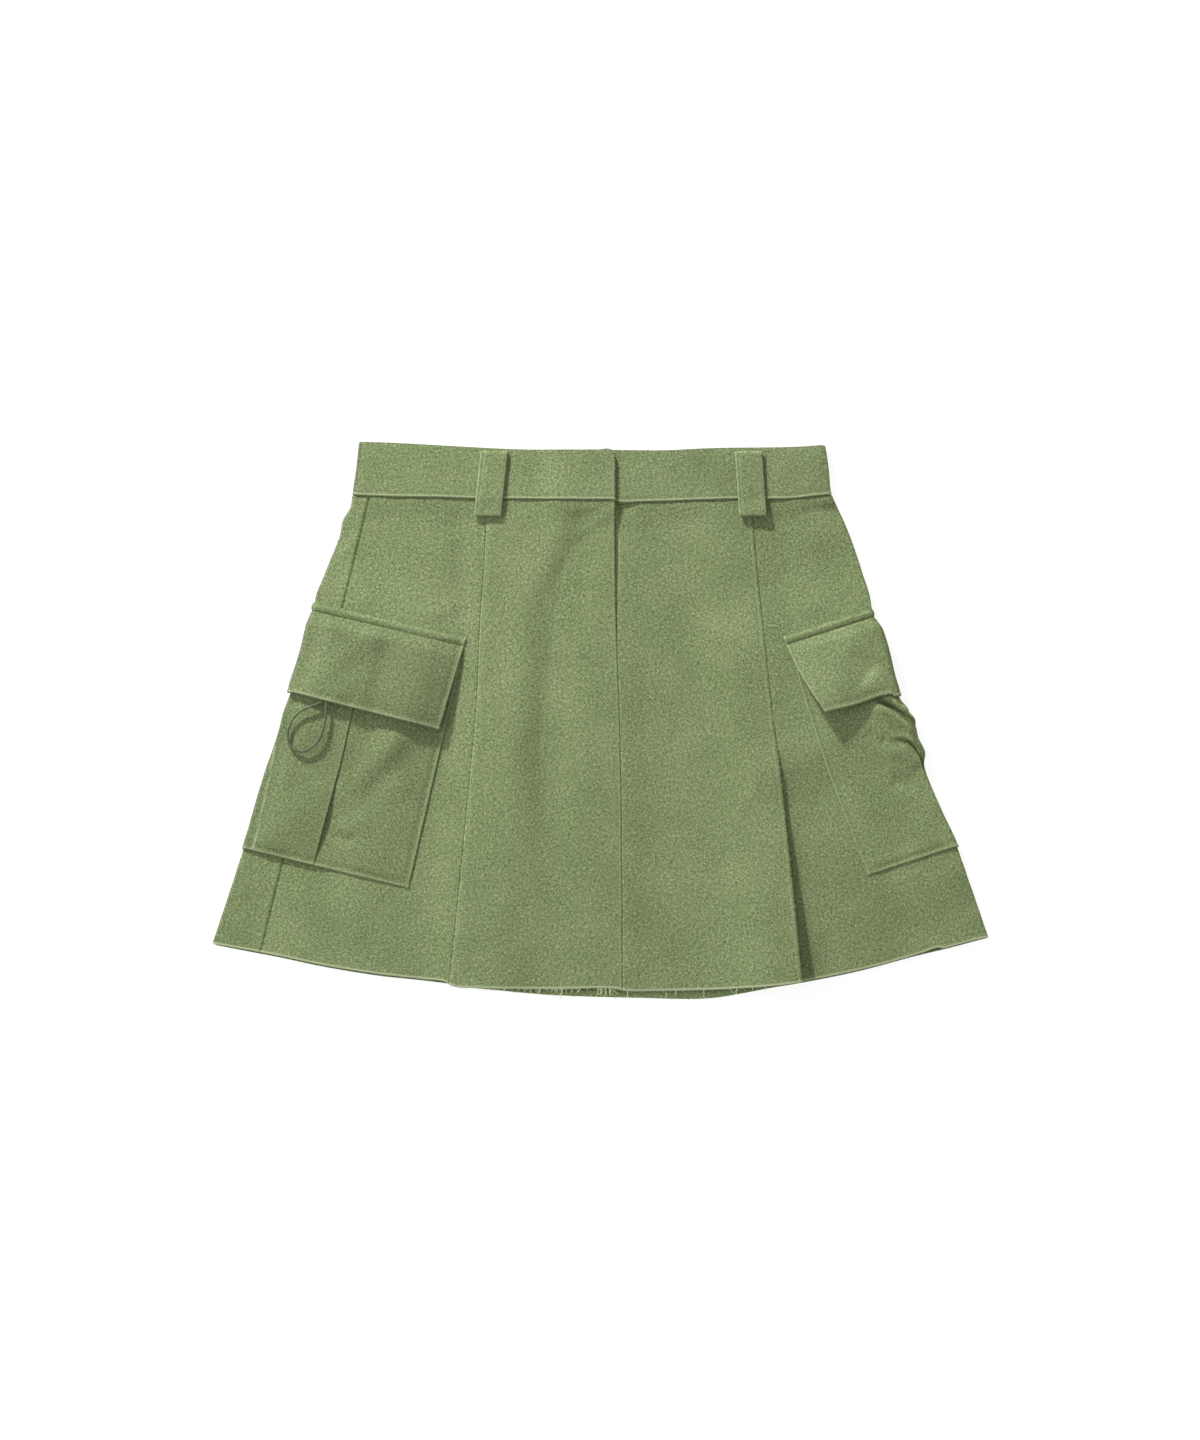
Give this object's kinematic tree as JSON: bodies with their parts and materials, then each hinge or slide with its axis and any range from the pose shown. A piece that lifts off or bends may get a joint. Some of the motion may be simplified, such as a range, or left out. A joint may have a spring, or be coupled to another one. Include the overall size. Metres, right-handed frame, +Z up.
{
  "type": "cargo utility skirt",
  "caption": "Short A-line cargo skirt laid flat: waistband with belt loops, lapped fly, front pleats, side pockets with flaps and an elastic cord loop under one flap.",
  "frame": {"origin": "centre of the footprint, on the surface that the skirt lies on", "axes": "+Z up, out of the front; +Y from the hem to the waistband; +X across the skirt, to the right of someone who looks down on the front"},
  "size_m": [0.574, 0.4129, 0.0219],
  "materials": {
    "twill": "matt cotton twill, heathered sage green",
    "twill_double": "the same twill sewn double, with edge stitching",
    "elastic": "round braided elastic cord"
  },
  "bodies": {
    "root": {"back": "twill", "front_side_left": "twill", "front_centre_left": "twill", "front_centre_right": "twill", "front_side_right": "twill", "pocket_left": "twill", "pocket_right": "twill", "waistband": "twill_double", "belt_loop_left": "twill_double", "belt_loop_right": "twill_double", "pocket_flap_left": "twill_double", "pocket_flap_right": "twill_double", "cord_loop": "elastic"}
  },
  "joints": []
}
